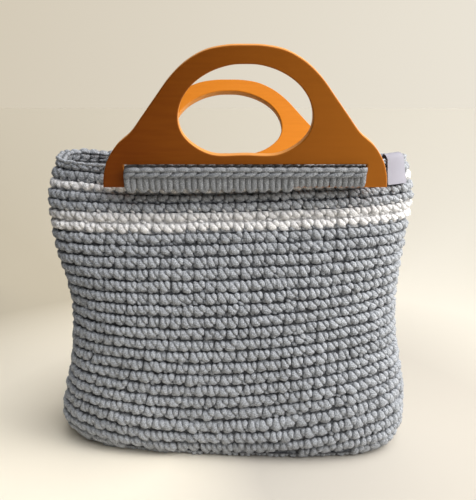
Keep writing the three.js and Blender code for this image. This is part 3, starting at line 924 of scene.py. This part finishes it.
class Finish:
    """A material or world with a short way to add its nodes."""

    # Sockets of the Mix node for colours, which share their names with those for other kinds
    MIX_INPUTS = (0, 6, 7)
    MIX_OUTPUT = 2

    def __init__(self, owner, shader="Principled BSDF"):
        self.material = owner if isinstance(owner, bpy.types.ID) else bpy.data.materials.new(owner)
        self.material.use_nodes = True
        self.tree = self.material.node_tree
        self.shader = self.tree.nodes[shader]

    def feed(self, socket, value):
        if isinstance(value, bpy.types.NodeSocket):
            self.tree.links.new(value, socket)
        else:
            socket.default_value = value

    def add(self, kind, inputs=None, **settings):
        node = self.tree.nodes.new("ShaderNode" + kind)
        for key, value in settings.items():
            setattr(node, key, value)
        for key, value in (inputs or {}).items():
            self.feed(node.inputs[key], value)
        return node

    def place(self):
        """Place in the object's own frame."""
        return self.add("TexCoord").outputs["Object"]

    def parts(self, vector):
        """X, Y and Z of a vector."""
        return self.add("SeparateXYZ", {"Vector": vector}).outputs

    def math(self, operation, *values):
        node = self.add("Math", operation=operation)
        for socket, value in zip(node.inputs, values):
            self.feed(socket, value)
        return node.outputs[0]

    def weighted(self, *terms):
        """Sum of values, each times its weight."""
        total = None
        for value, weight in terms:
            term = self.math("MULTIPLY", value, weight)
            total = term if total is None else self.math("ADD", total, term)
        return total

    def noise(self, place, scale, detail=NOISE_DETAIL):
        return self.add("TexNoise", {"Vector": place, "Scale": scale, "Detail": detail}).outputs["Fac"]

    def mix(self, share, first, second):
        node = self.add("Mix", data_type="RGBA")
        for index, value in zip(self.MIX_INPUTS, (share, first, second)):
            self.feed(node.inputs[index], value)
        return node.outputs[self.MIX_OUTPUT]

    def span(self, value, low, high, to_low=0, to_high=1):
        names = ("Value", "From Min", "From Max", "To Min", "To Max")
        return self.add("MapRange", dict(zip(names, (value, low, high, to_low, to_high)))).outputs[0]

    def bump(self, height, distance, strength):
        node = self.add("Bump", {"Height": height, "Distance": distance, "Strength": strength})
        self.feed(self.shader.inputs["Normal"], node.outputs[0])

    def set(self, values):
        for key, value in values.items():
            self.feed(self.shader.inputs[key], value)


def scaled(colour, factor):
    return (*(c * factor for c in colour), 1)


def cord_finish(name, colour, contrast, painted_gap_shade):
    """Soft knitted cotton cord: a fine chevron knit and small pits, both painted darker in their hollows as
    shade, a tone for each stitch, and painted shade deep in the gaps between cords.
    """
    finish = Finish(name)
    uv = finish.parts(finish.add("UVMap", uv_map="cord").outputs[0])
    along = finish.math("DIVIDE", uv["X"], KNIT_LENGTH)
    wale = finish.math("FRACT", finish.math("DIVIDE", uv["Y"], KNIT_WIDTH))
    slant = finish.math("ABSOLUTE", finish.math("SUBTRACT", wale, 0.5))
    knit = finish.math("SINE", finish.math("MULTIPLY", finish.math("ADD", along, slant), 2 * math.pi))
    place = finish.place()
    cells = finish.add("TexVoronoi", {"Vector": place, "Scale": PITS_PER_METRE}).outputs["Distance"]
    pits = finish.span(cells, *PIT_RANGE, 0.5, -0.5)
    patch = finish.math("SUBTRACT", finish.noise(place, PATCHES_PER_METRE), 0.5)
    tone = finish.add("Attribute", attribute_name="tone").outputs["Fac"]
    # knit and pits: painted shade, darker where the relief is lower; tone: each stitch's own tone, and on
    # the sleeves painted shade too; patch: the cord's own uneven tone
    light = finish.weighted((knit, KNIT_PAINTED_SHADE), (tone, STITCH_TONE), (patch, PATCH_TONE), (pits, PIT_PAINTED_SHADE))
    share = finish.math("ADD", light, 0.5)
    colours = finish.mix(share, scaled(colour, 1 - contrast), scaled(colour, 1 + contrast))
    # Painted shade: deep in the gaps between cords the colour turns to the dark gap colour
    shade = finish.add("Attribute", attribute_name="shade").outputs["Fac"]
    finish.set({"Base Color": finish.mix(shade, (*painted_gap_shade, 1), colours), **CORD_SHADER})
    height = finish.math("ADD", finish.math("MULTIPLY", knit, KNIT_HEIGHT), pits)
    finish.bump(height, CORD_RELIEF * MM, CORD_RELIEF_STRENGTH)
    return finish.material


def wood_finish():
    """Varnished orange-brown board: long faint grain, paler edges, and painted shade: the outer face darker
    than the face towards the bag, and darker again towards its left end.
    """
    finish = Finish("varnished_wood")
    place = finish.place()
    stretch = finish.add("Mapping", {"Vector": place, "Scale": GRAIN_STRETCH}).outputs[0]
    grain = finish.noise(stretch, GRAIN_SCALE, GRAIN_DETAIL)
    cloud = finish.noise(place, WOOD_CLOUDS_PER_METRE)
    figure = finish.span(finish.weighted((grain, GRAIN_SHARE), (cloud, 1 - GRAIN_SHARE)), *FIGURE_RANGE)
    at = finish.parts(place)
    # Painted shade on the outer face, darker towards the left; the inner face paler, as lit
    graded = finish.span(at["X"], -WOOD_GRADED * MM, WOOD_GRADED * MM)
    outer = finish.mix(graded, WOOD_OUTER_LEFT, WOOD_OUTER_RIGHT)
    outer = finish.mix(finish.math("MULTIPLY", figure, WOOD_FIGURE_SHARE), outer, WOOD_OUTER_FIGURE)
    inner = finish.mix(figure, WOOD_INNER_DARK, WOOD_INNER_PALE)
    face = finish.mix(finish.math("GREATER_THAN", at["Z"], 0.0), inner, outer)
    depth = finish.math("ABSOLUTE", at["Z"])
    half = HANDLE_THICKNESS / 2
    # Painted highlight: a paler colour on the rounded edges, where they catch the light
    edge = finish.span(depth, (half - WOOD_EDGE_START) * MM, (half - HANDLE_EDGE_ROUND) * MM)
    finish.set({"Base Color": finish.mix(edge, face, WOOD_EDGE_HIGHLIGHT), "Specular IOR Level": WOOD_SPECULAR,
                "Roughness": finish.span(cloud, *WOOD_CLOUD_RANGE, *WOOD_ROUGHNESS)})
    finish.bump(grain, WOOD_RELIEF * MM, WOOD_RELIEF_STRENGTH)
    return finish.material


def satin_finish():
    """White satin ribbon with a fine weave."""
    finish = Finish("white_satin")
    place = finish.place()
    wave = {"Vector": place, "Scale": WEAVE_SCALE, "Distortion": WEAVE_DISTORTION}
    weave = finish.add("TexWave", wave, bands_direction="Z").outputs["Fac"]
    cloud = finish.noise(place, SATIN_CLOUDS_PER_METRE)
    share = finish.weighted((weave, WEAVE_SHARE), (cloud, 1 - WEAVE_SHARE))
    finish.set({"Base Color": finish.mix(share, SATIN_DARK, SATIN_PALE), **SATIN_SHADER})
    finish.bump(weave, SATIN_RELIEF * MM, SATIN_RELIEF_STRENGTH)
    return finish.material


# Stage, lights and camera

def floor_finish():
    """Pale floor with painted light: near the bag it is paler on the left, where the bag's shadow falls,
    and darker on the right under the window; far from the bag it takes the tint of the room's left and
    right, darker to the left as the room's light falls.
    """
    finish = Finish("pale_floor")
    place = finish.place()
    distance = finish.add("VectorMath", {0: place}, operation="LENGTH").outputs["Value"]
    side = finish.math("DIVIDE", finish.parts(place)["X"], finish.math("MAXIMUM", distance, FLOOR_MIDDLE))
    near = finish.mix(finish.span(side, *FLOOR_NEAR_SIDES), FLOOR_NEAR_LEFT, FLOOR_NEAR_RIGHT)
    far = finish.mix(finish.span(side, *ROOM_SIDES), FLOOR_FAR_LEFT, FLOOR_FAR_RIGHT)
    away = finish.span(distance, *FLOOR_NEAR_TO_FAR)
    finish.set({"Base Color": finish.mix(away, near, far), "Roughness": FLOOR_ROUGHNESS})
    finish.bump(finish.noise(place, FLOOR_GRAINS_PER_METRE), FLOOR_RELIEF, FLOOR_RELIEF_STRENGTH)
    return finish.material


def stage_object(name, corners, faces, material):
    mesh = bpy.data.meshes.new(name)
    mesh.from_pydata(corners, [], faces)
    mesh.materials.append(material)
    thing = bpy.data.objects.new(name, mesh)
    bpy.context.scene.collection.objects.link(thing)
    return thing


def pale_floor():
    half = FLOOR_HALF
    corners = [(-half, -half, 0), (half, -half, 0), (half, half, 0), (-half, half, 0)]
    stage_object("floor", corners, [(0, 1, 2, 3)], floor_finish())


def shade_cards():
    """Dark standing cards in front of the bag and at its left, which the camera and the lamps pass through.

    They only take up stray light that the room would throw at the bag.
    """
    foot = [(CARD_LEFT, CARD_BACK, 0), (CARD_LEFT, CARD_FRONT, 0), (CARD_RIGHT, CARD_FRONT, 0)]
    head = [(x, y, CARD_HEIGHT) for x, y, _ in foot]
    finish = Finish("dark_card")
    finish.set({"Base Color": CARD_COLOUR, "Roughness": CARD_ROUGHNESS})
    cards = stage_object("shade_cards", foot + head, [(0, 1, 4, 3), (1, 2, 5, 4)], finish.material)
    cards.visible_camera = False
    cards.visible_shadow = False


def area_light(name, place, target, size, power, colour):
    lamp = bpy.data.lights.new(name, "AREA")
    lamp.shape = "DISK"
    lamp.size = size
    lamp.energy = power
    lamp.color = colour
    holder = bpy.data.objects.new(name, lamp)
    bpy.context.scene.collection.objects.link(holder)
    holder.visible_camera = False
    holder.location = place
    holder.rotation_euler = (Vector(target) - Vector(place)).to_track_quat("-Z", "Y").to_euler()


def sun_light(name, towards, strength, spread_deg, colour):
    """Light from one side, even over the whole stage."""
    lamp = bpy.data.lights.new(name, "SUN")
    lamp.energy = strength
    lamp.angle = math.radians(spread_deg)
    lamp.color = colour
    holder = bpy.data.objects.new(name, lamp)
    bpy.context.scene.collection.objects.link(holder)
    holder.rotation_euler = Vector(towards).to_track_quat("Z", "Y").to_euler()


def studio_world():
    """Pale warm room, brighter to the right; its upper front is dim."""
    world = bpy.data.worlds.new("studio")
    finish = Finish(world, "Background")
    way = finish.parts(finish.add("TexCoord").outputs["Generated"])
    pale = finish.mix(finish.span(way["X"], *ROOM_SIDES), ROOM_LEFT, ROOM_RIGHT)
    behind = finish.span(way["Y"], *ROOM_BEHIND)
    low = finish.span(way["Z"], *ROOM_LOW)
    share = finish.math("MAXIMUM", behind, low)
    finish.set({"Color": finish.mix(share, ROOM_UPPER_FRONT, pale), "Strength": 1.0})
    bpy.context.scene.world = world


def photo_camera():
    lens = bpy.data.cameras.new("camera")
    lens.sensor_fit = "VERTICAL"
    lens.sensor_height = SENSOR
    lens.lens = FOCAL_PIXELS / IMAGE_HEIGHT * SENSOR
    lens.clip_start = CAMERA_NEAREST * MM
    camera = bpy.data.objects.new("camera", lens)
    bpy.context.scene.collection.objects.link(camera)
    camera.location = Vector(CAMERA_PLACE) * MM
    camera.rotation_euler = (math.radians(90 - CAMERA_PITCH_DEG), 0, 0)
    bpy.context.scene.camera = camera


# Assembly

photo_camera()
studio_world()
pale_floor()
shade_cards()
area_light("window", **WINDOW)
sun_light("ceiling", **CEILING)
bpy.context.scene.view_settings.view_transform = "Standard"

GREY = cord_finish("grey_cord", **GREY_CORD)
WHITE = cord_finish("white_cord", **WHITE_CORD)
WOOD = wood_finish()

base_rounds(GREY)
for number, part_rows in enumerate(MAIN_WALL_PARTS, 1):
    wall_band(f"main_wall_rows_{number}", part_rows, GREY, "grey_cord", "main_wall")
wall_band("white_stripe_rows", (ROWS_MAIN_WALL, ROWS_WHITE_STRIPE), WHITE, "white_cord", "white_stripe")
wall_band("upper_band_rows", (ROWS_WHITE_STRIPE, ROWS_UPPER_BAND), GREY, "grey_cord", "upper_band")
wall_band("white_line_row", (ROWS_UPPER_BAND, ROWS_WHITE_LINE), WHITE, "white_cord", "white_line")
wall_band("rim_rows", (ROWS_WHITE_LINE, ROWS_RIM), GREY, "grey_cord", "rim")
handle_board("front_handle_board", FRONT_HANDLE, WOOD, "front_handle")
handle_board("back_handle_board", BACK_HANDLE, WOOD, "back_handle")
sleeve("front_sleeve_ribs", FRONT_HANDLE, SLEEVE_STRAIGHT_FROM, GREY, "front_sleeve")
sleeve("back_sleeve_ribs", BACK_HANDLE, SLEEVE_HALF_LENGTH, GREY, "back_sleeve")
label_strip(satin_finish())
